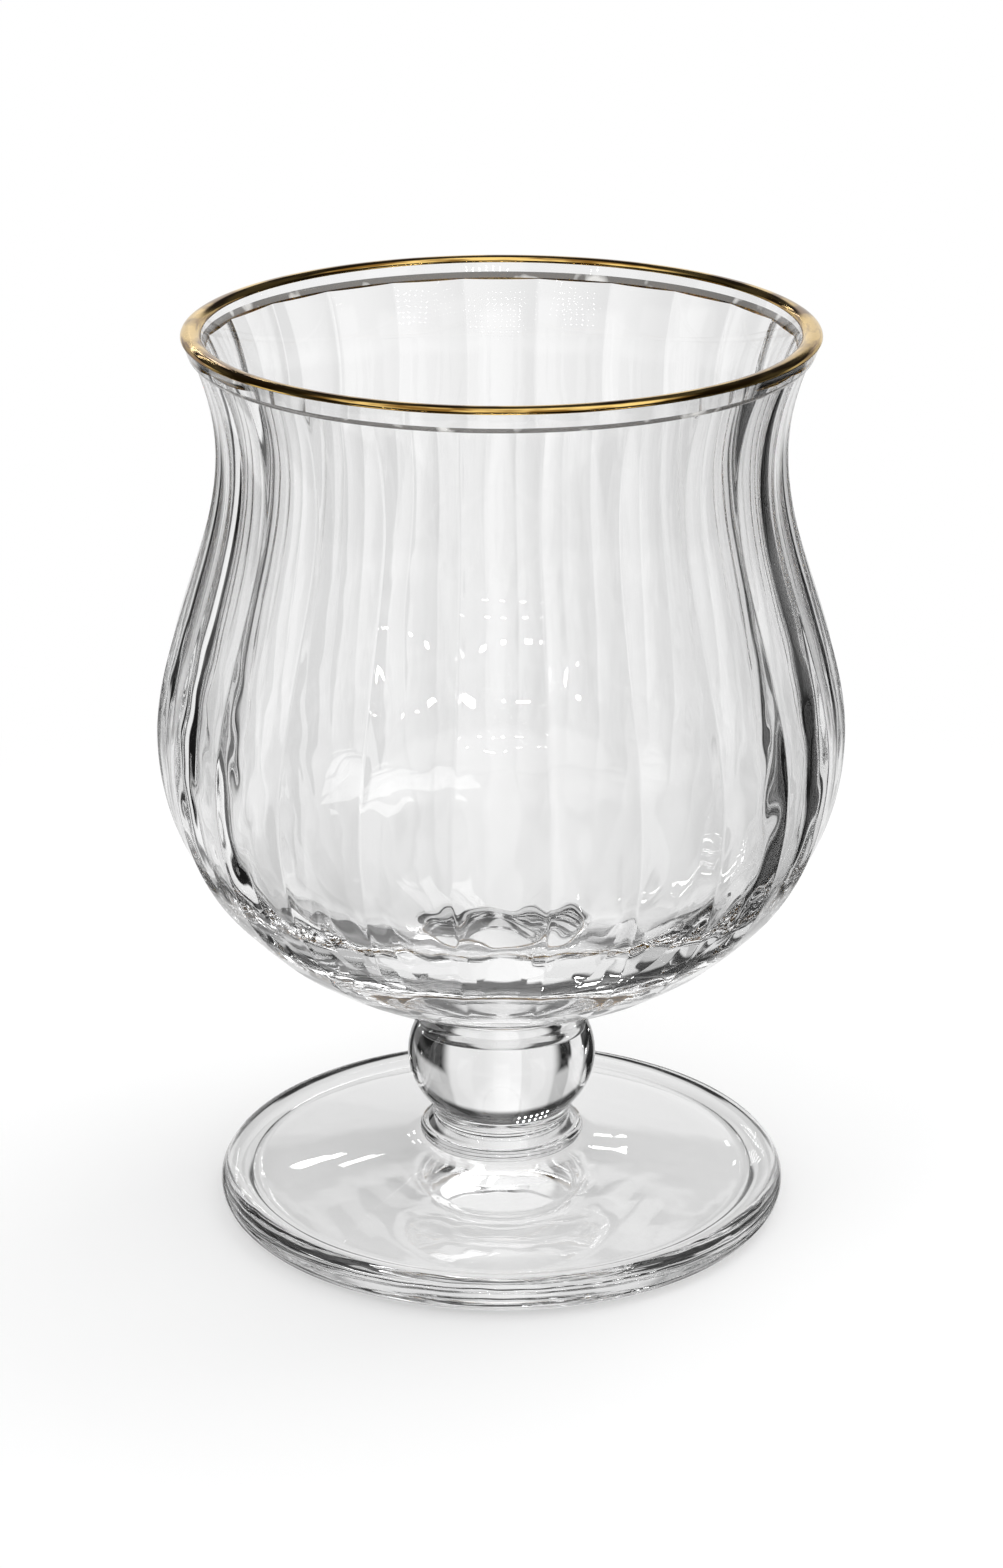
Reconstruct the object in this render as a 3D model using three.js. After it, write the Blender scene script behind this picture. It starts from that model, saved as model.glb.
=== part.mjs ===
// A goblet of clear glass: a fluted tulip bowl with a gilded lip, a knopped stem and a round foot.
// Lengths are in millimetres. Z is up, the foot stands on Z = 0 and the goblet's axis is the Z axis.
// Each piece is a gather of glass of its own. The pieces are stuck together hot, end to end, so they
// meet on flat round faces, and the gilding lies on the rounded top of the lip.
import * as THREE from "three";

// Foot: a shallow cone with a rolled edge, which stands on a flat ring
const FOOT_RADIUS = 38.1;
const FOOT_EDGE_HEIGHT = 4.6; // rolled edge, from the table to its crest
const FOOT_EDGE_WIDTH = 4.7; // rolled edge, across the roll
const FOOT_REST_WIDTH = 5; // flat ring that touches the table
const FOOT_HOLLOW_DEPTH = 1.4; // rise of the underside at the axis
const FOOT_CENTRE_HEIGHT = 8.2; // seat of the lower merese
const FOOT_SEAT_MARGIN = 0.5; // seat that shows round the lower merese

// Lower merese: the bead of glass between foot and stem
const FOOT_MERESE_RADIUS = 11;
const FOOT_MERESE_HEIGHT = 1.8;
const FOOT_MERESE_ROUND = 0.9; // depth of the rounded edge

// Stem: a drawn-in neck that carries a squat ball knop
const NECK_FOOT_RADIUS = 9.9;
const NECK_RADIUS = 9.1; // half way up the neck, where it is thinnest
const NECK_LENGTH = 3.3;
const KNOP_RADIUS = 12.6;
const KNOP_HALF_HEIGHT = 10.4; // of the whole ellipsoid that the knop is cut from
const KNOP_BELOW = 6.8; // from the neck up to the widest level
const KNOP_ABOVE = 6; // from the widest level up to the top

// Upper merese: the cove between knop and bowl
const BOWL_MERESE_HEIGHT = 3.3;
const BOWL_MERESE_COVE_RADIUS = 10.7; // half way up the cove

// Bowl, outside, measured over the ridges between the flutes
const FLUTE_COUNT = 24;
const FLUTE_DEPTH = 0.55; // at the belly, and in proportion to the radius above it
const FLUTE_SEAT_SHARE = 0.15; // share of that depth which is left at the seat
const FLUTE_FADE_RISE = 34; // from the seat up to where the flutes are whole
const BOWL_SEAT_RADIUS = 13.5;
const BELLY_RADIUS = 44.9;
const BELLY_RISE = 37.6; // from the seat up to the widest level
const WAIST_RADIUS = 36.6;
const SHOULDER_RISE = 38; // from the belly up to the waist
const FLARE_RADIUS = 39.05; // at the top of the flutes
const FLARE_RISE = 11.7; // from the waist up to the top of the flutes

// Lip: a plain round band above the flutes, with a rounded top
const LIP_RADIUS = 40.25;
const LIP_STEP = 0.45; // how far the band stands proud of the ridges, over a sloping ledge
const LIP_BAND_HEIGHT = 2.6;
const LIP_ROUND_HEIGHT = 0.55;
const LIP_THICKNESS = 2.3;

// Bowl, inside
const WALL_THICKNESS = 2.3; // from the waist up, at the ridges
const BELLY_THICKNESS = 4; // at the widest level, at the ridges
const BASE_THICKNESS = 10.6; // on the axis

// Gilding: drawn thick enough to be a solid, where the fired gold is a film
const GILT_THICKNESS = 0.15;

// Fullness of the curves, as shares of the spans between their ends
const SHOULDER_EASE = 1 / 3;
const BELLY_FULLNESS = 0.35;
const BASE_FULLNESS_OUT = 0.81;
const BASE_FULLNESS_UP = 0.226;
const INSIDE_BELLY_FULLNESS = 0.5;
const INSIDE_FLOOR_FULLNESS = 0.95;
const ROLL_END_ANGLE = (5 / 6) * Math.PI; // where the rolled edge runs into the cone

// Fineness of the facets
const FLUTE_FACETS = 4;
const BOWL_FACETS = FLUTE_COUNT * FLUTE_FACETS;
const ROUND_FACETS = 48;

// Levels, stacked from the table upwards
const footMereseLevel = FOOT_CENTRE_HEIGHT;
const stemLevel = footMereseLevel + FOOT_MERESE_HEIGHT;
const knopLevel = stemLevel + NECK_LENGTH + KNOP_BELOW;
const bowlMereseLevel = knopLevel + KNOP_ABOVE;
const bowlLevel = bowlMereseLevel + BOWL_MERESE_HEIGHT;
const bellyLevel = bowlLevel + BELLY_RISE;
const waistLevel = bellyLevel + SHOULDER_RISE;
const bandLevel = waistLevel + FLARE_RISE;
const lipLevel = bandLevel + LIP_BAND_HEIGHT;
const floorLevel = bowlLevel + BASE_THICKNESS;

const at = (radius, height) => new THREE.Vector2(radius, height);

// Radius of the knop's ellipsoid at a distance above or below its widest level
function knopRadiusAt(distance) {
  return KNOP_RADIUS * Math.sqrt(1 - (distance / KNOP_HALF_HEIGHT) ** 2);
}

// Turns a profile of (radius, height) points round the Z axis, starting at the front, which is -Y
function revolve(profile, facets, startAngle = 0) {
  return new THREE.LatheGeometry(profile, facets, startAngle).rotateX(Math.PI / 2);
}

function footGeometry() {
  const edgeCentre = FOOT_RADIUS - FOOT_EDGE_WIDTH / 2;
  const hollowRadius = edgeCentre - FOOT_REST_WIDTH;
  const underside = new THREE.QuadraticBezierCurve(
    at(0, FOOT_HOLLOW_DEPTH),
    at(hollowRadius / 2, FOOT_HOLLOW_DEPTH),
    at(hollowRadius, 0),
  );
  const roll = new THREE.EllipseCurve(
    edgeCentre,
    FOOT_EDGE_HEIGHT / 2,
    FOOT_EDGE_WIDTH / 2,
    FOOT_EDGE_HEIGHT / 2,
    -Math.PI / 2,
    ROLL_END_ANGLE,
  );
  const profile = [
    ...underside.getPoints(4),
    ...roll.getPoints(10),
    at(FOOT_MERESE_RADIUS + FOOT_SEAT_MARGIN, FOOT_CENTRE_HEIGHT),
    at(0, FOOT_CENTRE_HEIGHT),
  ];
  return revolve(profile, ROUND_FACETS);
}

function footMereseGeometry() {
  const roundedEdge = new THREE.EllipseCurve(
    FOOT_MERESE_RADIUS - FOOT_MERESE_ROUND,
    footMereseLevel + FOOT_MERESE_HEIGHT / 2,
    FOOT_MERESE_ROUND,
    FOOT_MERESE_HEIGHT / 2,
    -Math.PI / 2,
    Math.PI / 2,
  );
  const profile = [at(0, footMereseLevel), ...roundedEdge.getPoints(6), at(0, stemLevel)];
  return revolve(profile, ROUND_FACETS);
}

function stemKnopGeometry() {
  const neck = new THREE.SplineCurve([
    at(NECK_FOOT_RADIUS, stemLevel),
    at(NECK_RADIUS, stemLevel + NECK_LENGTH / 2),
    at(knopRadiusAt(KNOP_BELOW), stemLevel + NECK_LENGTH),
  ]);
  const ball = new THREE.EllipseCurve(
    0,
    knopLevel,
    KNOP_RADIUS,
    KNOP_HALF_HEIGHT,
    -Math.asin(KNOP_BELOW / KNOP_HALF_HEIGHT),
    Math.asin(KNOP_ABOVE / KNOP_HALF_HEIGHT),
  );
  const profile = [
    at(0, stemLevel),
    ...neck.getPoints(4),
    ...ball.getPoints(9).slice(1),
    at(0, bowlMereseLevel),
  ];
  return revolve(profile, ROUND_FACETS);
}

function bowlMereseGeometry() {
  const cove = new THREE.SplineCurve([
    at(knopRadiusAt(KNOP_ABOVE), bowlMereseLevel),
    at(BOWL_MERESE_COVE_RADIUS, bowlMereseLevel + BOWL_MERESE_HEIGHT / 2),
    at(BOWL_SEAT_RADIUS, bowlLevel),
  ]);
  const profile = [at(0, bowlMereseLevel), ...cove.getPoints(6), at(0, bowlLevel)];
  return revolve(profile, ROUND_FACETS);
}

// The fluted outside of the bowl over the ridges, from its seat up to the top of the flutes
function bowlOutside() {
  const cup = new THREE.CubicBezierCurve(
    at(BOWL_SEAT_RADIUS, bowlLevel),
    at(
      BOWL_SEAT_RADIUS + BASE_FULLNESS_OUT * (BELLY_RADIUS - BOWL_SEAT_RADIUS),
      bowlLevel + BASE_FULLNESS_UP * BELLY_RISE,
    ),
    at(BELLY_RADIUS, bellyLevel - BELLY_FULLNESS * BELLY_RISE),
    at(BELLY_RADIUS, bellyLevel),
  );
  return [...cup.getPoints(9), ...upperWall(0, 0, 6, 3)];
}

// The wall from the belly up to the top of the flutes, moved inwards by an inset at the belly and another above
function upperWall(bellyInset, inset, shoulderSteps, flareSteps) {
  const shoulder = new THREE.CubicBezierCurve(
    at(BELLY_RADIUS - bellyInset, bellyLevel),
    at(BELLY_RADIUS - bellyInset, bellyLevel + SHOULDER_EASE * SHOULDER_RISE),
    at(WAIST_RADIUS - inset, waistLevel - SHOULDER_EASE * SHOULDER_RISE),
    at(WAIST_RADIUS - inset, waistLevel),
  );
  const flare = new THREE.QuadraticBezierCurve(
    at(WAIST_RADIUS - inset, waistLevel),
    at(WAIST_RADIUS - inset, waistLevel + FLARE_RISE / 2),
    at(FLARE_RADIUS - inset, bandLevel),
  );
  return [...shoulder.getPoints(shoulderSteps).slice(1), ...flare.getPoints(flareSteps).slice(1)];
}

// The inside of the bowl, from the top of the flutes down to the middle of its floor
function bowlInside() {
  const insideRadius = BELLY_RADIUS - BELLY_THICKNESS;
  const depth = bellyLevel - floorLevel;
  const well = new THREE.CubicBezierCurve(
    at(insideRadius, bellyLevel),
    at(insideRadius, bellyLevel - INSIDE_BELLY_FULLNESS * depth),
    at(INSIDE_FLOOR_FULLNESS * insideRadius, floorLevel),
    at(0, floorLevel),
  );
  return [...upperWall(BELLY_THICKNESS, WALL_THICKNESS, 5, 2).reverse(), ...well.getPoints(9)];
}

// The rounded top of the lip from its outside over the top to its inside, raised by a skin's thickness
function lipRound(skin) {
  return new THREE.EllipseCurve(
    LIP_RADIUS - LIP_THICKNESS / 2,
    lipLevel,
    LIP_THICKNESS / 2 + skin,
    LIP_ROUND_HEIGHT + skin,
    0,
    Math.PI,
  ).getPoints(4);
}

// Share of the flutes' depth at a height: they run out towards the bowl's seat
function fluteShareAt(height) {
  const rise = THREE.MathUtils.smoothstep(height, bowlLevel, bowlLevel + FLUTE_FADE_RISE);
  return THREE.MathUtils.lerp(FLUTE_SEAT_SHARE, 1, rise);
}

// Presses the flutes into the rows first to last of a revolved profile. Every FLUTE_FACETS columns there
// is a ridge, which keeps its radius, and between two ridges the wall is hollowed by a shallow arc.
function pressFlutes(geometry, rows, first, last) {
  const { position } = geometry.attributes;
  for (let column = 0; column <= BOWL_FACETS; column += 1) {
    const acrossFlute = (2 * (column % FLUTE_FACETS)) / FLUTE_FACETS - 1;
    const hollow = (FLUTE_DEPTH / BELLY_RADIUS) * (1 - acrossFlute ** 2);
    for (let row = first; row <= last; row += 1) {
      const vertex = column * rows + row;
      const drawnIn = 1 - hollow * fluteShareAt(position.getZ(vertex));
      position.setX(vertex, position.getX(vertex) * drawnIn);
      position.setY(vertex, position.getY(vertex) * drawnIn);
    }
  }
}

// Half a flute, so that a flute and not a ridge faces the front
const firstRidgeAngle = Math.PI / FLUTE_COUNT;

function bowlGeometry() {
  const outside = bowlOutside();
  const profile = [
    at(0, bowlLevel),
    ...outside,
    at(FLARE_RADIUS + LIP_STEP, bandLevel + LIP_STEP),
    ...lipRound(0),
    ...bowlInside(),
  ];
  const geometry = revolve(profile, BOWL_FACETS, firstRidgeAngle);
  const firstFlutedRow = 2; // after the middle and the edge of the seat
  pressFlutes(geometry, profile.length, firstFlutedRow, outside.length);
  return geometry;
}

function gildedRimGeometry() {
  const profile = [...lipRound(GILT_THICKNESS), ...lipRound(0).reverse()];
  return revolve([...profile, profile[0]], BOWL_FACETS, firstRidgeAngle);
}

function clearGlass() {
  return new THREE.MeshStandardMaterial({
    color: 0xeef2f1,
    roughness: 0.03,
    metalness: 0,
    transparent: true,
    opacity: 0.4,
  });
}

function firedGold() {
  return new THREE.MeshStandardMaterial({ color: 0xc9a04a, roughness: 0.12, metalness: 1 });
}

function piece(name, geometry, material) {
  const mesh = new THREE.Mesh(geometry, material);
  mesh.name = name;
  return mesh;
}

const goblet = new THREE.Group();
goblet.name = "goblet";
goblet.add(
  piece("foot", footGeometry(), clearGlass()),
  piece("foot_merese", footMereseGeometry(), clearGlass()),
  piece("stem_knop", stemKnopGeometry(), clearGlass()),
  piece("bowl_merese", bowlMereseGeometry(), clearGlass()),
  piece("bowl", bowlGeometry(), clearGlass()),
  piece("gilded_rim", gildedRimGeometry(), firedGold()),
);

export default goblet;
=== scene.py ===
"""Looks of a clear glass goblet with a fluted bowl and a gilded lip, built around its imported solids."""

import math

import bmesh
import bpy
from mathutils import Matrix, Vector, noise


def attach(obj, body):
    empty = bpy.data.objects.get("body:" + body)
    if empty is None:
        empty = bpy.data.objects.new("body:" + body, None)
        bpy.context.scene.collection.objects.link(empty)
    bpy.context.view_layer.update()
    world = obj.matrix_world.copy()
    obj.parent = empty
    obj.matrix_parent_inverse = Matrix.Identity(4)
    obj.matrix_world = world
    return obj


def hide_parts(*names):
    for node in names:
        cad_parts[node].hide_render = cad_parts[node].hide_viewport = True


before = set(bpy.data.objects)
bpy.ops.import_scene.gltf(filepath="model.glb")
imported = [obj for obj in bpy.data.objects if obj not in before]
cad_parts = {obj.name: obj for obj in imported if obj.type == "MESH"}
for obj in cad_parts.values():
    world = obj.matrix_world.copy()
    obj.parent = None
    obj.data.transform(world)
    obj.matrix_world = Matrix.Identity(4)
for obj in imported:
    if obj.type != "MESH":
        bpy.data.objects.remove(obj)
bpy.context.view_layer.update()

MM = 0.001

# Foot, in millimetres
FOOT_RADIUS = 38.1
FOOT_EDGE_HEIGHT = 4.6
FOOT_EDGE_WIDTH = 4.7
FOOT_REST_WIDTH = 5.0
FOOT_HOLLOW_DEPTH = 1.4
FOOT_CENTRE_HEIGHT = 8.2
FOOT_SEAT_MARGIN = 0.5
ROLL_END_ANGLE = math.radians(150)

# Mereses and stem
FOOT_MERESE_RADIUS = 11.0
FOOT_MERESE_HEIGHT = 1.8
FOOT_MERESE_ROUND = 0.9
NECK_FOOT_RADIUS = 9.9
NECK_RADIUS = 9.1
NECK_LENGTH = 3.3
KNOP_RADIUS = 12.6
KNOP_HALF_HEIGHT = 10.4
KNOP_BELOW = 6.8
KNOP_ABOVE = 6.0
BOWL_MERESE_HEIGHT = 3.3
BOWL_MERESE_COVE_RADIUS = 10.7

# Bowl and lip
FLUTE_COUNT = 24
FLUTE_DEPTH = 0.55
FLUTE_SEAT_SHARE = 0.15
FLUTE_FADE_RISE = 34.0
BOWL_SEAT_RADIUS = 13.5
BELLY_RADIUS = 44.9
BELLY_RISE = 37.6
WAIST_RADIUS = 36.6
SHOULDER_RISE = 38.0
FLARE_RADIUS = 39.05
FLARE_RISE = 11.70
LIP_RADIUS = 40.25
LEDGE_DEPTH = 0.6
LEDGE_HEIGHT = 0.75
LIP_BAND_HEIGHT = 2.6
LIP_ROUND_HEIGHT = 0.55
LIP_THICKNESS = 2.3
WALL_THICKNESS = 2.3
BELLY_THICKNESS = 4.0
BASE_THICKNESS = 10.6
GILT_THICKNESS = 0.15

# How full the bowl's curves are, as shares of their length, and where the ledge's curve turns
SHOULDER_EASE = 1 / 3
BELLY_FULLNESS = 0.35
BASE_FULLNESS_OUT = 0.81
BASE_FULLNESS_UP = 0.226
INSIDE_BELLY_FULLNESS = 0.50
INSIDE_FLOOR_FULLNESS = 0.95
LEDGE_TURNS = ((0, 0), (0.2, 0.1), (0.9, 0.75), (1, 1))

# Levels, stacked from the table upwards
FOOT_MERESE_LEVEL = FOOT_CENTRE_HEIGHT
STEM_LEVEL = FOOT_MERESE_LEVEL + FOOT_MERESE_HEIGHT
KNOP_LEVEL = STEM_LEVEL + NECK_LENGTH + KNOP_BELOW
BOWL_MERESE_LEVEL = KNOP_LEVEL + KNOP_ABOVE
BOWL_LEVEL = BOWL_MERESE_LEVEL + BOWL_MERESE_HEIGHT
BELLY_LEVEL = BOWL_LEVEL + BELLY_RISE
WAIST_LEVEL = BELLY_LEVEL + SHOULDER_RISE
BAND_LEVEL = WAIST_LEVEL + FLARE_RISE
LIP_LEVEL = BAND_LEVEL + LIP_BAND_HEIGHT
FLOOR_LEVEL = BOWL_LEVEL + BASE_THICKNESS

# Steps along the runs of the profiles; points closer than SAME_PLACE are one
HOLLOW_STEPS = 16
FLAT_STEPS = 2
ROLL_STEPS = 40
SLOPE_STEPS = 16
BEAD_STEPS = 24
COVE_STEPS = 12
BALL_STEPS = 48
CUP_STEPS = 56
SHOULDER_STEPS = 44
FLARE_STEPS = 18
LEDGE_STEPS = 10
BAND_STEPS = 4
LIP_STEPS = 20
INSIDE_FLARE_STEPS = 12
INSIDE_SHOULDER_STEPS = 30
WELL_STEPS = 64
FIRST_FLUTED_ROW = 2
SAME_PLACE = 1e-6

# Columns of the turned meshes: crowded at the ridges, as fractions of a flute
COLUMN_PLACES = (
    0, 0.014, 0.035, 0.07, 0.13, 0.22, 0.34, 0.5, 0.66, 0.78, 0.87, 0.93, 0.965, 0.986
)
FLUTE_ANGLE = 2 * math.pi / FLUTE_COUNT
COLUMN_ANGLES = [
    FLUTE_ANGLE * (flute + 0.5 + place) for flute in range(FLUTE_COUNT) for place in COLUMN_PLACES
]
COLUMNS = len(COLUMN_ANGLES)
RIDGE_ROUNDING = 0.03

# Unevenness of the hand-pressed wall, in millimetres: height and length of its waves, and sway of the
# ridges. The waves are sunk into the turned wall, so that the belly keeps within its solid.
WAVE_HEIGHT = 0.13
WAVE_LENGTH = 11.0
WAVE_STRETCH = 0.6
WAVE_SINK = 0.85
WAVE_SEED = 100.0
RIDGE_SWAY = 0.35
SWAY_SEED = 300.0

# Fine ripple of the fire-polished surface: waves per metre, their height in metres, the levels in
# metres where it is liveliest, and its shares elsewhere
RIPPLE_SCALE = 300.0
RIPPLE_STRETCH = (1.0, 1.0, 0.6)
RIPPLE_DETAIL = 0.0
RIPPLE_HEIGHT = 0.00016
RIPPLE_WAKES = 0.046
RIPPLE_AWAKE = 0.052
RIPPLE_CALMS = 0.066
RIPPLE_CALM = 0.090
RIPPLE_REST = 0.05
RIPPLE_FOOT = 0.12
RIPPLE_FOOT_ENDS = 0.012
RIPPLE_FOOT_GONE = 0.018

# Clearness of the glass: what share of the light a wall, the thick foot and the shadow let through. The
# foot's share is set low as painted shade: it darkens the foot and its bead to stand in for the table's
# shadow seen through them.
GLASS_IOR = 1.5
BOWL_CLEARNESS = 0.97
FOOT_CLEARNESS_PAINTED_SHADE = 0.86
SHADOW_PASS = 0.80

# Ledge above the flutes, its glass darkened into a line of painted shade: breaks per metre in that dark
# line, and the tones between them with their noise levels
LEDGE_BREAKS = 230.0
LEDGE_DETAIL = 2.0
LEDGE_SHADE_TONE = (0.56, (0.06, 0.056, 0.052, 1))
LEDGE_BRIGHT = (0.66, (0.9, 0.88, 0.84, 1))
LEDGE_ROUGHNESS = 0.12

# Fired gold: patches per metre round and up the lip where the hand-laid gold is thinner and darker, its
# darkest tone also a painted dark reflection, the tones between them with their noise levels, and how
# rough the gold is from one level to another
GOLD_RUNS = 110.0
GOLD_STREAKS = 2600.0
GOLD_DETAIL = 3.0
GOLD_THIN_AND_PAINTED_DARK = (0.41, (0.20, 0.10, 0.018, 1))
GOLD_BRIGHT = (0.57, (0.82, 0.56, 0.19, 1))
GOLD_ROUGHENS = 0.3
GOLD_ROUGH = 0.7
GOLD_LEAST_ROUGHNESS = 0.04
GOLD_MOST_ROUGHNESS = 0.12

# Finish of the faces along a run of a profile, as places in a piece's list of materials
OPEN_GLASS, FUSED_SEAM, SHADED_LEDGE = 0, 1, 2
GOLD_FILM = 0


def bezier(points, steps):
    """Points along a Bezier curve of any degree, both ends included."""
    n = len(points) - 1
    curve = []
    for i in range(steps + 1):
        t = i / steps
        weights = [math.comb(n, k) * t**k * (1 - t) ** (n - k) for k in range(n + 1)]
        curve.append(tuple(sum(w * p[axis] for w, p in zip(weights, points)) for axis in (0, 1)))
    return curve


def catmull_rom(a, b, c, d, t):
    """One coordinate of a Catmull-Rom curve on its way from b to c."""
    slope = (c - a) * t
    bend = (2 * a - 5 * b + 4 * c - d) * t**2
    turn = (3 * b - a - 3 * c + d) * t**3
    return 0.5 * (2 * b + slope + bend + turn)


def spline(points, steps):
    """A smooth curve through all the points: a Catmull-Rom curve with doubled ends."""
    padded = [points[0], *points, points[-1]]
    curve = [points[0]]
    for corners in zip(padded, padded[1:], padded[2:], padded[3:]):
        for i in range(1, steps + 1):
            curve.append(tuple(catmull_rom(*axis, i / steps) for axis in zip(*corners)))
    return curve


def arc(centre, radii, start, end, steps):
    """Points along an arc of an ellipse, by angle from the outward direction."""
    angles = [start + (end - start) * i / steps for i in range(steps + 1)]
    return [
        (centre[0] + radii[0] * math.cos(a), centre[1] + radii[1] * math.sin(a)) for a in angles
    ]


def line(start, end, steps):
    """Points along a straight line, both ends included."""
    return bezier([start, end], steps)


def joined(*runs):
    """Joins runs of (points, finish), and gives the points and the finish of the faces after each."""
    points, finishes = [], []
    for run, finish in runs:
        for point in run:
            if points and math.dist(points[-1], point) < SAME_PLACE:
                continue
            if points:
                finishes.append(finish)
            points.append(point)
    return points, finishes


def turned(name, points, finishes, materials, shape=None):
    """A closed body turned round the Z axis from a profile in millimetres.

    shape may move a point by its angle. A profile that begins on the axis also ends on it; any other
    one closes on itself.
    """
    bm = bmesh.new()
    rings = []
    for row, (radius, height) in enumerate(points):
        if radius < SAME_PLACE:
            rings.append([bm.verts.new((0, 0, height * MM))])
            continue
        ring = []
        for angle in COLUMN_ANGLES:
            r, z = shape(row, radius, height, angle) if shape else (radius, height)
            ring.append(bm.verts.new((r * math.sin(angle) * MM, -r * math.cos(angle) * MM, z * MM)))
        rings.append(ring)
    closing = len(rings) - 1 if len(rings[0]) == 1 else len(rings)
    for row in range(closing):
        low, high = rings[row], rings[(row + 1) % len(rings)]
        for column in range(COLUMNS):
            after = (column + 1) % COLUMNS
            corners = [
                low[column % len(low)],
                low[after % len(low)],
                high[after % len(high)],
                high[column % len(high)],
            ]
            face = bm.faces.new(list(dict.fromkeys(corners)))
            face.smooth = True
            face.material_index = finishes[row]
    for edge in bm.edges:
        if len({face.material_index for face in edge.link_faces}) > 1:
            edge.smooth = False
    mesh = bpy.data.meshes.new(name)
    bm.to_mesh(mesh)
    bm.free()
    for material in materials:
        mesh.materials.append(material)
    piece = bpy.data.objects.new(name, mesh)
    bpy.context.scene.collection.objects.link(piece)
    return piece


def knop_radius_at(distance):
    """Radius of the ball knop at a distance above or below its middle."""
    return KNOP_RADIUS * math.sqrt(1 - (distance / KNOP_HALF_HEIGHT) ** 2)


def foot_profile():
    edge_centre = FOOT_RADIUS - FOOT_EDGE_WIDTH / 2
    hollow = edge_centre - FOOT_REST_WIDTH
    seat = (FOOT_MERESE_RADIUS + FOOT_SEAT_MARGIN, FOOT_CENTRE_HEIGHT)
    weld = (FOOT_MERESE_RADIUS - FOOT_MERESE_ROUND, FOOT_CENTRE_HEIGHT)
    underside = bezier(
        [(0, FOOT_HOLLOW_DEPTH), (hollow / 2, FOOT_HOLLOW_DEPTH), (hollow, 0)],
        HOLLOW_STEPS,
    )
    roll = arc(
        (edge_centre, FOOT_EDGE_HEIGHT / 2),
        (FOOT_EDGE_WIDTH / 2, FOOT_EDGE_HEIGHT / 2),
        -math.pi / 2,
        ROLL_END_ANGLE,
        ROLL_STEPS,
    )
    return joined(
        (underside, OPEN_GLASS),
        (line((hollow, 0), (edge_centre, 0), FLAT_STEPS), OPEN_GLASS),
        (roll, OPEN_GLASS),
        (line(roll[-1], seat, SLOPE_STEPS), OPEN_GLASS),
        (line(seat, weld, FLAT_STEPS), OPEN_GLASS),
        (line(weld, (0, FOOT_CENTRE_HEIGHT), 1), FUSED_SEAM),
    )


def foot_merese_profile():
    edge = arc(
        (FOOT_MERESE_RADIUS - FOOT_MERESE_ROUND, FOOT_MERESE_LEVEL + FOOT_MERESE_HEIGHT / 2),
        (FOOT_MERESE_ROUND, FOOT_MERESE_HEIGHT / 2),
        -math.pi / 2,
        math.pi / 2,
        BEAD_STEPS,
    )
    neck = (NECK_FOOT_RADIUS, STEM_LEVEL)
    return joined(
        (line((0, FOOT_MERESE_LEVEL), edge[0], 1), FUSED_SEAM),
        (edge, OPEN_GLASS),
        (line(edge[-1], neck, 1), OPEN_GLASS),
        (line(neck, (0, STEM_LEVEL), 1), FUSED_SEAM),
    )


def stem_knop_profile():
    neck = spline(
        [
            (NECK_FOOT_RADIUS, STEM_LEVEL),
            (NECK_RADIUS, STEM_LEVEL + NECK_LENGTH / 2),
            (knop_radius_at(KNOP_BELOW), STEM_LEVEL + NECK_LENGTH),
        ],
        COVE_STEPS,
    )
    ball = arc(
        (0, KNOP_LEVEL),
        (KNOP_RADIUS, KNOP_HALF_HEIGHT),
        -math.asin(KNOP_BELOW / KNOP_HALF_HEIGHT),
        math.asin(KNOP_ABOVE / KNOP_HALF_HEIGHT),
        BALL_STEPS,
    )
    return joined(
        (line((0, STEM_LEVEL), neck[0], 1), FUSED_SEAM),
        (neck, OPEN_GLASS),
        (ball, OPEN_GLASS),
        (line(ball[-1], (0, BOWL_MERESE_LEVEL), 1), FUSED_SEAM),
    )


def bowl_merese_profile():
    cove = spline(
        [
            (knop_radius_at(KNOP_ABOVE), BOWL_MERESE_LEVEL),
            (BOWL_MERESE_COVE_RADIUS, BOWL_MERESE_LEVEL + BOWL_MERESE_HEIGHT / 2),
            (BOWL_SEAT_RADIUS, BOWL_LEVEL),
        ],
        COVE_STEPS,
    )
    return joined(
        (line((0, BOWL_MERESE_LEVEL), cove[0], 1), FUSED_SEAM),
        (cove, OPEN_GLASS),
        (line(cove[-1], (0, BOWL_LEVEL), 1), FUSED_SEAM),
    )


def upper_wall(inset, belly_inset, shoulder_steps, flare_steps):
    """The bowl's wall from the belly up to the lip band, moved in by an inset."""
    shoulder = bezier(
        [
            (BELLY_RADIUS - belly_inset, BELLY_LEVEL),
            (BELLY_RADIUS - belly_inset, BELLY_LEVEL + SHOULDER_EASE * SHOULDER_RISE),
            (WAIST_RADIUS - inset, WAIST_LEVEL - SHOULDER_EASE * SHOULDER_RISE),
            (WAIST_RADIUS - inset, WAIST_LEVEL),
        ],
        shoulder_steps,
    )
    flare = bezier(
        [
            (WAIST_RADIUS - inset, WAIST_LEVEL),
            (WAIST_RADIUS - inset, WAIST_LEVEL + FLARE_RISE / 2),
            (FLARE_RADIUS - inset, BAND_LEVEL),
        ],
        flare_steps,
    )
    return shoulder + flare[1:]


def lip_round(skin):
    """The rounded top of the lip, from outside to inside, grown by the thickness of a skin."""
    return arc(
        (LIP_RADIUS - LIP_THICKNESS / 2, LIP_LEVEL),
        (LIP_THICKNESS / 2 + skin, LIP_ROUND_HEIGHT + skin),
        0,
        math.pi,
        LIP_STEPS,
    )


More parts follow.
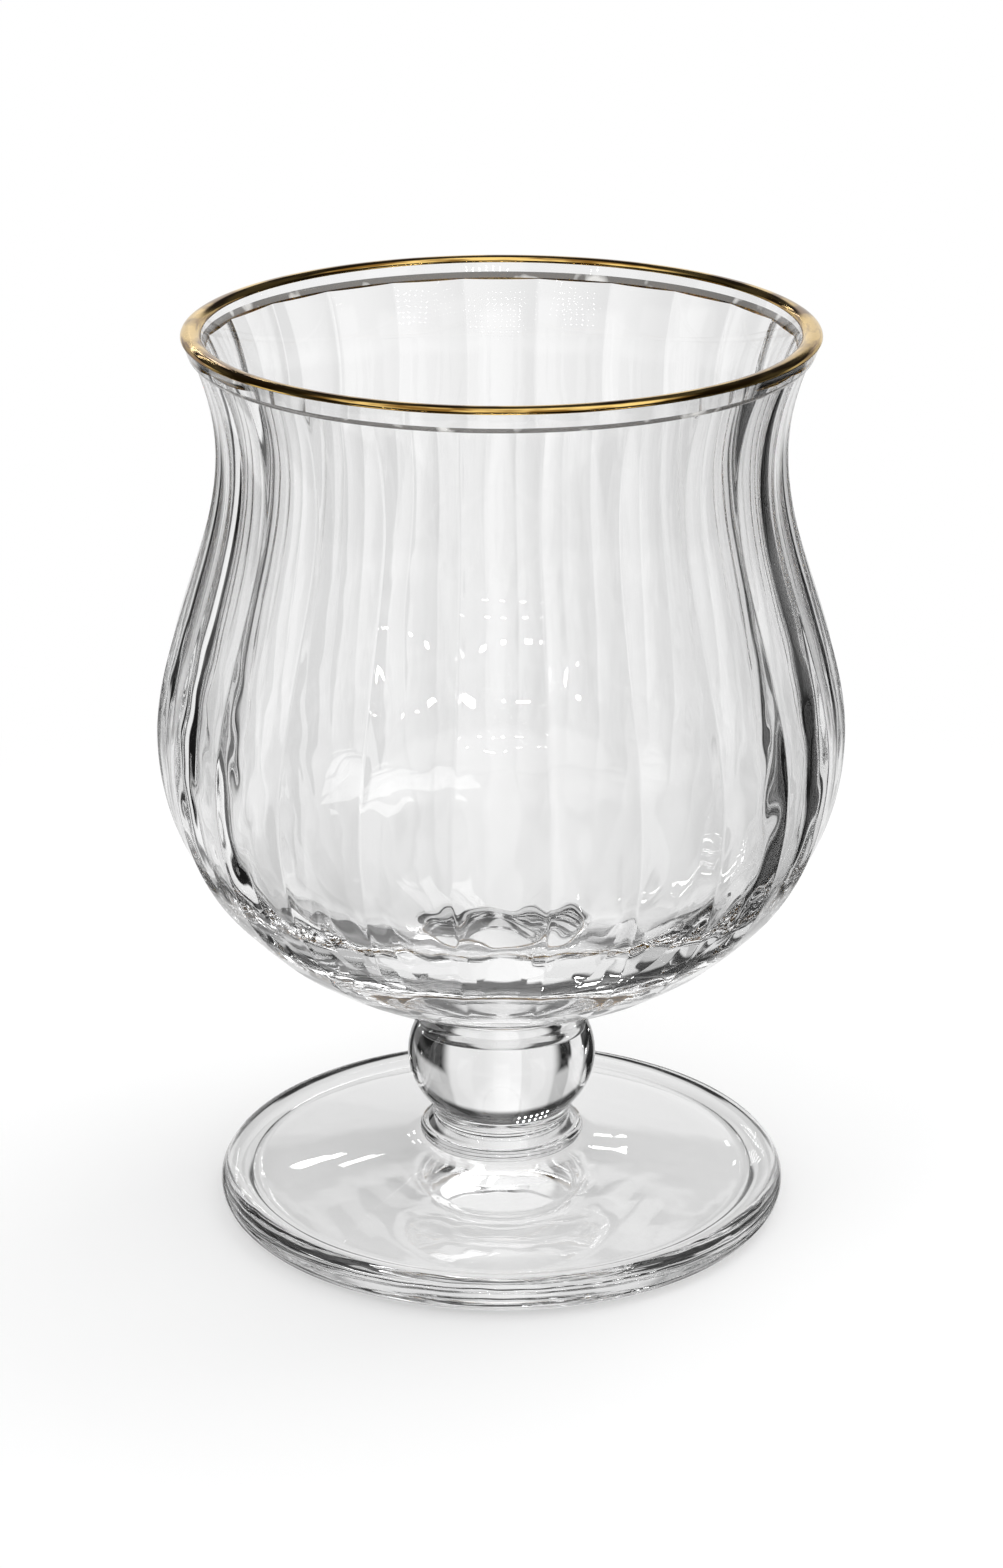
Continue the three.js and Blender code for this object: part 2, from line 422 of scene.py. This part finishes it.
def bowl_outside():
    """The outside of the bowl, from its seat up to the ledge."""
    cup = bezier(
        [
            (BOWL_SEAT_RADIUS, BOWL_LEVEL),
            (
                BOWL_SEAT_RADIUS + BASE_FULLNESS_OUT * (BELLY_RADIUS - BOWL_SEAT_RADIUS),
                BOWL_LEVEL + BASE_FULLNESS_UP * BELLY_RISE,
            ),
            (BELLY_RADIUS, BELLY_LEVEL - BELLY_FULLNESS * BELLY_RISE),
            (BELLY_RADIUS, BELLY_LEVEL),
        ],
        CUP_STEPS,
    )
    return cup + upper_wall(0, 0, SHOULDER_STEPS, FLARE_STEPS)[1:]


def bowl_inside():
    """The smooth inside of the bowl, from the lip band down to the middle of its floor."""
    radius = BELLY_RADIUS - BELLY_THICKNESS
    depth = BELLY_LEVEL - FLOOR_LEVEL
    well = bezier(
        [
            (radius, BELLY_LEVEL),
            (radius, BELLY_LEVEL - INSIDE_BELLY_FULLNESS * depth),
            (INSIDE_FLOOR_FULLNESS * radius, FLOOR_LEVEL),
            (0, FLOOR_LEVEL),
        ],
        WELL_STEPS,
    )
    wall = upper_wall(WALL_THICKNESS, BELLY_THICKNESS, INSIDE_SHOULDER_STEPS, INSIDE_FLARE_STEPS)
    return wall[::-1] + well[1:]


def bowl_profile():
    """The bowl's profile, its finishes, and the rows that are fluted."""
    outside, inside, lip = bowl_outside(), bowl_inside(), lip_round(0)
    ledge = bezier(
        [
            (FLARE_RADIUS + out * LEDGE_DEPTH, BAND_LEVEL + up * LEDGE_HEIGHT)
            for out, up in LEDGE_TURNS
        ],
        LEDGE_STEPS,
    )
    points, finishes = joined(
        (line((0, BOWL_LEVEL), outside[0], 1), FUSED_SEAM),
        (outside, OPEN_GLASS),
        (ledge, SHADED_LEDGE),
        (line(ledge[-1], lip[0], BAND_STEPS), OPEN_GLASS),
        (lip, FUSED_SEAM),
        (line(lip[-1], inside[0], BAND_STEPS), OPEN_GLASS),
        (inside, OPEN_GLASS),
    )
    return points, finishes, range(FIRST_FLUTED_ROW, len(outside) + 1)


def wall_wave(radius, height, angle, seed):
    """A slow, smooth unevenness between -1 and 1 at a place on the wall."""
    x, y = radius * math.sin(angle), radius * math.cos(angle)
    return noise.noise(Vector((x, y, WAVE_STRETCH * height + seed)) / WAVE_LENGTH)


def make_bowl(materials):
    """The bowl, with flutes that meet in rounded, slightly swaying ridges and fade towards the seat."""
    points, finishes, fluted_rows = bowl_profile()

    def shape(row, radius, height, angle):
        if row not in fluted_rows:
            return radius, height
        sway = RIDGE_SWAY * wall_wave(radius, height, angle, SWAY_SEED) / radius
        radius += WAVE_HEIGHT * (wall_wave(radius, height, angle, WAVE_SEED) - WAVE_SINK)
        along = (angle + sway) / FLUTE_ANGLE - 0.5
        from_ridge = 1 - abs(2 * (along - math.floor(along)) - 1)
        rounded = math.hypot(from_ridge, RIDGE_ROUNDING) - RIDGE_ROUNDING
        rise = min(1, (height - BOWL_LEVEL) / FLUTE_FADE_RISE)
        share = FLUTE_SEAT_SHARE + (1 - FLUTE_SEAT_SHARE) * rise * rise * (3 - 2 * rise)
        depth = FLUTE_DEPTH / BELLY_RADIUS * share * rounded * (2 - rounded)
        return radius * (1 - depth), height

    return turned("fluted_bowl", points, finishes, materials, shape)


def make_gilding(materials):
    points, finishes = joined(
        (lip_round(GILT_THICKNESS), GOLD_FILM),
        (lip_round(0)[::-1], GOLD_FILM),
    )
    return turned("gold_lip", points, [*finishes, GOLD_FILM], materials)


def feed(tree, socket, value):
    """Links a socket to another one, or sets it to a number."""
    if isinstance(value, (int, float)):
        socket.default_value = value
    else:
        tree.links.new(value, socket)


def maths(tree, operation, *values):
    """A Math node, fed by sockets or by numbers."""
    node = tree.nodes.new("ShaderNodeMath")
    node.operation = operation
    for socket, value in zip(node.inputs, values):
        feed(tree, socket, value)
    return node.outputs[0]


def product(tree, first, *others):
    """Several masks or values, multiplied."""
    for other in others:
        first = maths(tree, "MULTIPLY", first, other)
    return first


def ramped(tree, value, low, high, out_low=0.0, out_high=1.0):
    """A smooth step of a value from one level to another."""
    node = tree.nodes.new("ShaderNodeMapRange")
    node.interpolation_type = "SMOOTHSTEP"
    tree.links.new(value, node.inputs["Value"])
    node.inputs["From Min"].default_value = low
    node.inputs["From Max"].default_value = high
    node.inputs["To Min"].default_value = out_low
    node.inputs["To Max"].default_value = out_high
    return node.outputs["Result"]


def band(tree, value, starts, whole, thins, ends):
    """A mask that grows between the first two levels of a value and goes between the last two."""
    return product(tree, ramped(tree, value, starts, whole), ramped(tree, value, ends, thins))


def blended(tree, factor, first, second):
    """A mix of two values by a factor."""
    node = tree.nodes.new("ShaderNodeMix")
    for socket, value in zip(node.inputs[0:1] + node.inputs[2:4], (factor, first, second)):
        feed(tree, socket, value)
    return node.outputs[0]


def stretched(tree, place, scale):
    """A place, stretched by a scale for each axis."""
    node = tree.nodes.new("ShaderNodeMapping")
    node.inputs["Scale"].default_value = scale
    tree.links.new(place, node.inputs["Vector"])
    return node.outputs["Vector"]


def cloudy(tree, place, scale, detail):
    """Soft noise at a place, as a value."""
    node = tree.nodes.new("ShaderNodeTexNoise")
    node.inputs["Scale"].default_value = scale
    node.inputs["Detail"].default_value = detail
    tree.links.new(place, node.inputs["Vector"])
    return node.outputs["Fac"]


def two_tones(tree, value, *tones):
    """A colour that runs between two tones, each given with the level of the value where it is pure."""
    node = tree.nodes.new("ShaderNodeValToRGB")
    for stop, (level, colour) in zip(node.color_ramp.elements, tones):
        stop.position = level
        stop.color = colour
    tree.links.new(value, node.inputs["Fac"])
    return node.outputs["Color"]


def new_material(name):
    """A new material and its node tree."""
    material = bpy.data.materials.new(name)
    material.use_nodes = True
    return material, material.node_tree


def surface(tree, shader):
    """Gives a material its surface."""
    tree.links.new(shader.outputs[0], tree.nodes["Material Output"].inputs["Surface"])


def mixed_surface(tree, factor, first, second):
    """Gives a material a surface that is a mix of two shaders."""
    mix = tree.nodes.new("ShaderNodeMixShader")
    for socket, output in zip(mix.inputs, (factor, first.outputs[0], second.outputs[0])):
        tree.links.new(output, socket)
    surface(tree, mix)


def ripple_group():
    """Slow waves that stay in hot-worked glass, as a height: lively on the belly, faint on the foot."""
    group = bpy.data.node_groups.new("hot_worked_ripple", "ShaderNodeTree")
    group.interface.new_socket("Height", in_out="OUTPUT", socket_type="NodeSocketFloat")
    place = group.nodes.new("ShaderNodeTexCoord").outputs["Object"]
    waves = cloudy(group, stretched(group, place, RIPPLE_STRETCH), RIPPLE_SCALE, RIPPLE_DETAIL)
    parts = group.nodes.new("ShaderNodeSeparateXYZ")
    group.links.new(place, parts.inputs[0])
    level = parts.outputs["Z"]
    wakes = ramped(group, level, RIPPLE_WAKES, RIPPLE_AWAKE, RIPPLE_REST, 1.0)
    calms = ramped(group, level, RIPPLE_CALMS, RIPPLE_CALM, 1.0, RIPPLE_REST)
    foot = ramped(group, level, RIPPLE_FOOT_ENDS, RIPPLE_FOOT_GONE, RIPPLE_FOOT, 0.0)
    lively = maths(group, "MAXIMUM", maths(group, "MINIMUM", wakes, calms), foot)
    out = group.nodes.new("NodeGroupOutput")
    group.links.new(product(group, waves, lively), out.inputs["Height"])
    return group


def set_glass(shader, roughness):
    """The values that all the glass of the goblet shares, and how rough it is."""
    shader.inputs["Roughness"].default_value = roughness
    shader.inputs["IOR"].default_value = GLASS_IOR
    shader.inputs["Transmission Weight"].default_value = 1.0


def clear_glass(name, ripple, clearness):
    """Rippled clear glass that lets an even share of the light through to the floor."""
    material, tree = new_material(name)
    glass = tree.nodes["Principled BSDF"]
    waves = tree.nodes.new("ShaderNodeGroup")
    waves.node_tree = ripple
    bump = tree.nodes.new("ShaderNodeBump")
    bump.inputs["Strength"].default_value = 1.0
    bump.inputs["Distance"].default_value = RIPPLE_HEIGHT
    tree.links.new(waves.outputs["Height"], bump.inputs["Height"])
    tree.links.new(bump.outputs["Normal"], glass.inputs["Normal"])
    glass.inputs["Base Color"].default_value = (clearness, clearness, clearness, 1)
    set_glass(glass, 0.0)
    see_through = tree.nodes.new("ShaderNodeBsdfTransparent")
    see_through.inputs["Color"].default_value = (SHADOW_PASS, SHADOW_PASS, SHADOW_PASS, 1)
    rays = tree.nodes.new("ShaderNodeLightPath").outputs
    lighting = maths(tree, "MAXIMUM", rays["Is Shadow Ray"], rays["Is Diffuse Ray"])
    mixed_surface(tree, lighting, glass, see_through)
    return material


def ledge_painted_shade():
    """The ledge above the flutes, its glass darkened into a line of painted shade, with short bright
    breaks.
    """
    material, tree = new_material("ledge_painted_shade")
    glass = tree.nodes["Principled BSDF"]
    place = tree.nodes.new("ShaderNodeTexCoord").outputs["Object"]
    breaks = cloudy(tree, place, LEDGE_BREAKS, LEDGE_DETAIL)
    # Painted shade: the dark tone turns the ledge's glass into a dark line, broken by the bright tone
    tone = two_tones(tree, breaks, LEDGE_SHADE_TONE, LEDGE_BRIGHT)
    tree.links.new(tone, glass.inputs["Base Color"])
    set_glass(glass, LEDGE_ROUGHNESS)
    return material


def fused_seam():
    """The face where two gathers of glass melted together, which can't be seen."""
    material, tree = new_material("fused_seam")
    tree.nodes.remove(tree.nodes["Principled BSDF"])
    surface(tree, tree.nodes.new("ShaderNodeBsdfTransparent"))
    return material


def fired_gold():
    """Bright gold, streaked along the lip where it was laid on by hand, its deep streaks partly thin gold
    and partly painted dark reflection.
    """
    material, tree = new_material("fired_gold")
    gold = tree.nodes["Principled BSDF"]
    gold.inputs["Metallic"].default_value = 1.0
    place = tree.nodes.new("ShaderNodeTexCoord").outputs["Object"]
    along = stretched(tree, place, (GOLD_RUNS, GOLD_RUNS, GOLD_STREAKS))
    film_and_shade = cloudy(tree, along, 1.0, GOLD_DETAIL)
    # Deep tone: partly thinner gold, partly painted dark reflection, in random streaks round the lip
    tree.links.new(two_tones(tree, film_and_shade, GOLD_THIN_AND_PAINTED_DARK, GOLD_BRIGHT), gold.inputs["Base Color"])
    roughness = ramped(
        tree, film_and_shade, GOLD_ROUGHENS, GOLD_ROUGH, GOLD_LEAST_ROUGHNESS, GOLD_MOST_ROUGHNESS
    )
    tree.links.new(roughness, gold.inputs["Roughness"])
    return material


# Floor, in metres: lit paper up to one radius, even white from the next
FLOOR_LEVEL_M = -0.0002
FLOOR_SIDE = 8.0
FLOOR_LIT_RADIUS = 0.08
FLOOR_WHITE_RADIUS = 0.20
PAPER_WHITE = 0.96

# Bright field: what the glass and the gold see, by direction. Levels are the height of a direction
# of length one, facings are the cosine of its bearing from the backdrop, and lanes are the cosine of
# LANE_COUNT times that bearing.

# White lanes between dark cards, each a little brighter on one side
LANE_COUNT = 8.0
FIELD_DARK = 0.01
FIELD_CLEAR = 0.45
FIELD_GONE = 0.0
FIELD_FALL = 0.10
FIELD_LEAN = 0.9

# Dark flag on the right, over whole lanes, as facings
FLAG_NEAR = 0.88
FLAG_BEGINS = 0.80
FLAG_STOPS = -0.35
FLAG_FAR = -0.45
FLAG_SIDE = 0.1

# Dark flag on the left, that narrows one lane below the horizon: facings, levels, and lanes
LEFT_FLAG_STOPS = 0.50
LEFT_FLAG_FAR = 0.40
LEFT_FLAG_ENDS = -0.52
LEFT_FLAG_WHOLE = -0.44
LEFT_FLAG_TOP = -0.20
LEFT_FLAG_OVER = -0.10
LEFT_LANE_EDGE = 0.42
LEFT_LANE_CLEAR = 0.70

# Backdrop behind the goblet: tone and facings, and the dark above it by level
NEAR_GREY = 0.86
NEAR_STARTS = 0.86
NEAR_WHOLE = 0.92
BACKDROP_GREY = 0.05
BACKDROP_ENDS = 0.28
BACKDROP_GONE = 0.36

# Haze at the horizon, by level
HORIZON_GREY = 0.6
HORIZON_STARTS = -0.12
HORIZON_WHOLE = -0.02

# Dark ceiling over the cards: tone, facings and levels
CEILING = 0.03
CEILING_NEAR = 0.60
CEILING_ASIDE = 0.45
CEILING_STARTS = 0.0
CEILING_WHOLE = 0.12

# Bright overhead, and pale straight below
OVERHEAD = 1.3
OVERHEAD_STARTS = 0.78
OVERHEAD_WHOLE = 0.88
NADIR_GREY = 0.9
NADIR_STARTS = -0.80
NADIR_WHOLE = -0.95

# Dark cards low at the sides: tone, levels and facings
CARD_DARK = 0.03
CARD_STARTS = -0.64
CARD_WHOLE = -0.70
CARD_NEAR = 0.98
CARD_BEGINS = 0.94
CARD_STOPS = -0.10
CARD_FAR = -0.35

# Even light that the floor sees
SKY_FOR_FLOOR = 0.84

# Softboxes: place, side, radiance, and whether they show through the glass
SOFTBOX_AIM = (0, 0, 0.05)
SOFTBOXES = [
    ("key_softbox", (0.35, 0.25, 0.85), 0.5, 3.0, True),
    ("fill_softbox", (-0.30, -0.35, 0.80), 0.3, 3.0, False),
]

# Windows of small panes: place, columns, rows, pitch and size of the panes, and radiance
WINDOW_AIM = (0, 0, 0.06)
WINDOWS = [
    ("front_window", (0.05, -0.95, 0.40), 9, 7, (0.045, 0.05), (0.010, 0.005), 40.0),
    ("left_window", (-0.55, -0.82, 0.48), 6, 7, (0.045, 0.05), (0.010, 0.005), 40.0),
    ("right_window", (0.62, -0.76, 0.50), 6, 7, (0.045, 0.05), (0.010, 0.005), 40.0),
    ("back_window", (-0.25, 0.75, 0.42), 6, 2, (0.05, 0.06), (0.015, 0.025), 8.0),
]


def even_glow(tree, radiance):
    """A shader that shines white, the same in all directions."""
    glow = tree.nodes.new("ShaderNodeEmission")
    glow.inputs["Color"].default_value = (1, 1, 1, 1)
    glow.inputs["Strength"].default_value = radiance
    return glow


def white_floor():
    """Lit paper near the goblet, so that it takes the shadow, and even white further out."""
    material, tree = new_material("white_floor")
    paper = tree.nodes["Principled BSDF"]
    paper.inputs["Base Color"].default_value = (PAPER_WHITE, PAPER_WHITE, PAPER_WHITE, 1)
    paper.inputs["Roughness"].default_value = 1.0
    paper.inputs["Specular IOR Level"].default_value = 0.0
    place = tree.nodes.new("ShaderNodeNewGeometry")
    reach = tree.nodes.new("ShaderNodeVectorMath")
    reach.operation = "LENGTH"
    tree.links.new(place.outputs["Position"], reach.inputs[0])
    far = ramped(tree, reach.outputs["Value"], FLOOR_LIT_RADIUS, FLOOR_WHITE_RADIUS)
    mixed_surface(tree, far, paper, even_glow(tree, 1.0))
    return material


def make_floor():
    mesh = bpy.data.meshes.new("floor")
    half = FLOOR_SIDE / 2
    corners = [(-half, -half), (half, -half), (half, half), (-half, half)]
    mesh.from_pydata([(x, y, FLOOR_LEVEL_M) for x, y in corners], [], [(0, 1, 2, 3)])
    mesh.materials.append(white_floor())
    floor = bpy.data.objects.new("floor", mesh)
    bpy.context.scene.collection.objects.link(floor)
    floor.visible_glossy = False
    floor.visible_transmission = False


def set_up(holder, place, target):
    """Puts a lamp or a window in its place, with its face turned to a target."""
    holder.location = place
    holder.rotation_euler = (Vector(target) - Vector(place)).to_track_quat("-Z", "Y").to_euler()
    bpy.context.scene.collection.objects.link(holder)


def make_softbox(name, place, side, radiance, through_glass):
    """A square lamp of an even brightness, which glass and gold don't mirror."""
    lamp = bpy.data.lights.new(name, "AREA")
    lamp.shape = "SQUARE"
    lamp.size = side
    lamp.energy = radiance * math.pi * side * side
    holder = bpy.data.objects.new(name, lamp)
    holder.visible_glossy = False
    holder.visible_transmission = through_glass
    set_up(holder, place, SOFTBOX_AIM)


def lit_pane(radiance):
    material, tree = new_material("lit_pane")
    tree.nodes.remove(tree.nodes["Principled BSDF"])
    surface(tree, even_glow(tree, radiance))
    return material


def make_window(name, place, columns, rows, pitch, pane, radiance):
    """A window of small bright panes that only shows as highlights in the glass and the gold."""
    corners, faces = [], []
    half_width, half_height = pane[0] / 2, pane[1] / 2
    for column in range(columns):
        for row in range(rows):
            x = (column - (columns - 1) / 2) * pitch[0]
            y = (row - (rows - 1) / 2) * pitch[1]
            first = len(corners)
            corners += [
                (x - half_width, y - half_height, 0),
                (x + half_width, y - half_height, 0),
                (x + half_width, y + half_height, 0),
                (x - half_width, y + half_height, 0),
            ]
            faces.append((first, first + 1, first + 2, first + 3))
    mesh = bpy.data.meshes.new(name)
    mesh.from_pydata(corners, [], faces)
    mesh.materials.append(lit_pane(radiance))
    window = bpy.data.objects.new(name, mesh)
    set_up(window, place, WINDOW_AIM)
    window.visible_camera = False
    window.visible_diffuse = False
    window.visible_shadow = False


def open_lanes(tree, bearing, facing, level):
    """Where the field is open: its lanes, less what the flags cover."""
    lanes = maths(tree, "COSINE", maths(tree, "MULTIPLY", bearing, LANE_COUNT))
    across = maths(tree, "SINE", bearing)
    right = product(
        tree,
        band(tree, facing, FLAG_NEAR, FLAG_BEGINS, FLAG_STOPS, FLAG_FAR),
        ramped(tree, across, 0.0, FLAG_SIDE),
    )
    left = product(
        tree,
        band(tree, facing, FLAG_NEAR, FLAG_BEGINS, LEFT_FLAG_STOPS, LEFT_FLAG_FAR),
        ramped(tree, across, 0.0, -FLAG_SIDE),
        band(tree, level, LEFT_FLAG_ENDS, LEFT_FLAG_WHOLE, LEFT_FLAG_TOP, LEFT_FLAG_OVER),
        ramped(tree, lanes, LEFT_LANE_CLEAR, LEFT_LANE_EDGE),
    )
    uncovered = maths(tree, "SUBTRACT", 1.0, maths(tree, "MAXIMUM", right, left))
    return product(tree, ramped(tree, lanes, FIELD_GONE, FIELD_CLEAR), uncovered)


def bright_field(tree, bearing, level):
    """What the glass and the gold see, by direction: lanes, then the tones laid over them in turn."""
    facing = maths(tree, "COSINE", bearing)
    lane = open_lanes(tree, bearing, facing, level)
    closed = maths(tree, "SUBTRACT", 1.0, lane)
    leaning = maths(tree, "COSINE", maths(tree, "MULTIPLY_ADD", bearing, LANE_COUNT, FIELD_LEAN))
    slope = maths(tree, "MULTIPLY_ADD", leaning, FIELD_FALL, 1 - FIELD_FALL)
    field = product(tree, maths(tree, "MAXIMUM", lane, FIELD_DARK), slope)
    haze = ramped(tree, level, HORIZON_STARTS, HORIZON_WHOLE, FIELD_DARK, HORIZON_GREY)
    field = maths(tree, "MAXIMUM", field, haze)
    backdrop = ramped(tree, facing, NEAR_STARTS, NEAR_WHOLE, 0.0, NEAR_GREY)
    field = maths(tree, "MAXIMUM", field, backdrop)
    ceiling = product(
        tree,
        ramped(tree, level, CEILING_STARTS, CEILING_WHOLE),
        ramped(tree, facing, CEILING_NEAR, CEILING_ASIDE),
        closed,
    )
    card = product(
        tree,
        ramped(tree, level, CARD_STARTS, CARD_WHOLE),
        band(tree, facing, CARD_NEAR, CARD_BEGINS, CARD_STOPS, CARD_FAR),
        closed,
    )
    for mask, tone in [
        (ramped(tree, level, BACKDROP_ENDS, BACKDROP_GONE), BACKDROP_GREY),
        (ceiling, CEILING),
        (ramped(tree, level, OVERHEAD_STARTS, OVERHEAD_WHOLE), OVERHEAD),
        (ramped(tree, level, NADIR_STARTS, NADIR_WHOLE), NADIR_GREY),
        (card, CARD_DARK),
    ]:
        field = blended(tree, mask, field, tone)
    return field


def make_world():
    """White for the camera, even light for the floor, and a bright field for glass and gold."""
    world = bpy.data.worlds.new("studio")
    world.use_nodes = True
    tree = world.node_tree
    direction = tree.nodes.new("ShaderNodeTexCoord").outputs["Generated"]
    parts = tree.nodes.new("ShaderNodeSeparateXYZ")
    tree.links.new(direction, parts.inputs[0])
    bearing = maths(tree, "ARCTAN2", parts.outputs["X"], parts.outputs["Y"])
    field = bright_field(tree, bearing, parts.outputs["Z"])
    rays = tree.nodes.new("ShaderNodeLightPath").outputs
    light = blended(tree, rays["Is Diffuse Ray"], field, SKY_FOR_FLOOR)
    light = blended(tree, rays["Is Camera Ray"], light, 1.0)
    background = tree.nodes["Background"]
    background.inputs["Color"].default_value = (1, 1, 1, 1)
    tree.links.new(light, background.inputs["Strength"])
    bpy.context.scene.world = world


def make_studio():
    make_world()
    for softbox in SOFTBOXES:
        make_softbox(*softbox)
    for window in WINDOWS:
        make_window(*window)
    make_floor()


# Camera: where it stands, how far it looks down, its focal length on a sensor's long side, in
# millimetres, and how near and far it sees
CAMERA_PLACE = (0.0, -0.48388, 0.23997)
CAMERA_PITCH_DOWN = math.radians(20.579)
CAMERA_LENS = 90.31
CAMERA_SENSOR = 36.0
CAMERA_NEAR = 0.01
CAMERA_FAR = 50.0

# How often light may bend or bounce: it does so many times in the base of the bowl
LIGHT_BOUNCES = 96


def make_camera():
    camera = bpy.data.cameras.new("camera")
    camera.lens = CAMERA_LENS
    camera.sensor_width = CAMERA_SENSOR
    camera.clip_start = CAMERA_NEAR
    camera.clip_end = CAMERA_FAR
    holder = bpy.data.objects.new("camera", camera)
    holder.location = CAMERA_PLACE
    holder.rotation_euler = (math.pi / 2 - CAMERA_PITCH_DOWN, 0, 0)
    bpy.context.scene.collection.objects.link(holder)
    bpy.context.scene.camera = holder


def settings():
    scene = bpy.context.scene
    scene.view_settings.view_transform = "Standard"
    scene.cycles.max_bounces = LIGHT_BOUNCES
    scene.cycles.transmission_bounces = LIGHT_BOUNCES
    scene.cycles.glossy_bounces = LIGHT_BOUNCES
    scene.cycles.transparent_max_bounces = LIGHT_BOUNCES
    scene.cycles.caustics_reflective = False
    scene.cycles.caustics_refractive = False


make_camera()
make_studio()
settings()

ripple = ripple_group()
glass = clear_glass("clear_glass", ripple, BOWL_CLEARNESS)
# Darker glass for the foot and its bead: painted shade for the table's shadow seen through them
foot_glass_painted_shade = clear_glass("foot_glass_painted_shade", ripple, FOOT_CLEARNESS_PAINTED_SHADE)
seam, gold = fused_seam(), fired_gold()
PIECES = [
    (turned("round_foot", *foot_profile(), [foot_glass_painted_shade, seam]), "foot", "clear_glass"),
    (turned("foot_bead", *foot_merese_profile(), [foot_glass_painted_shade, seam]), "foot_merese", "clear_glass"),
    (turned("ball_knop", *stem_knop_profile(), [glass, seam]), "stem_knop", "clear_glass"),
    (turned("bowl_collar", *bowl_merese_profile(), [glass, seam]), "bowl_merese", "clear_glass"),
    (make_bowl([glass, seam, ledge_painted_shade()]), "bowl", "clear_glass"),
    (make_gilding([gold]), "gilded_rim", "fired_gold"),
]
for piece, node, slot in PIECES:
    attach(piece, "root")
    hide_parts(node)
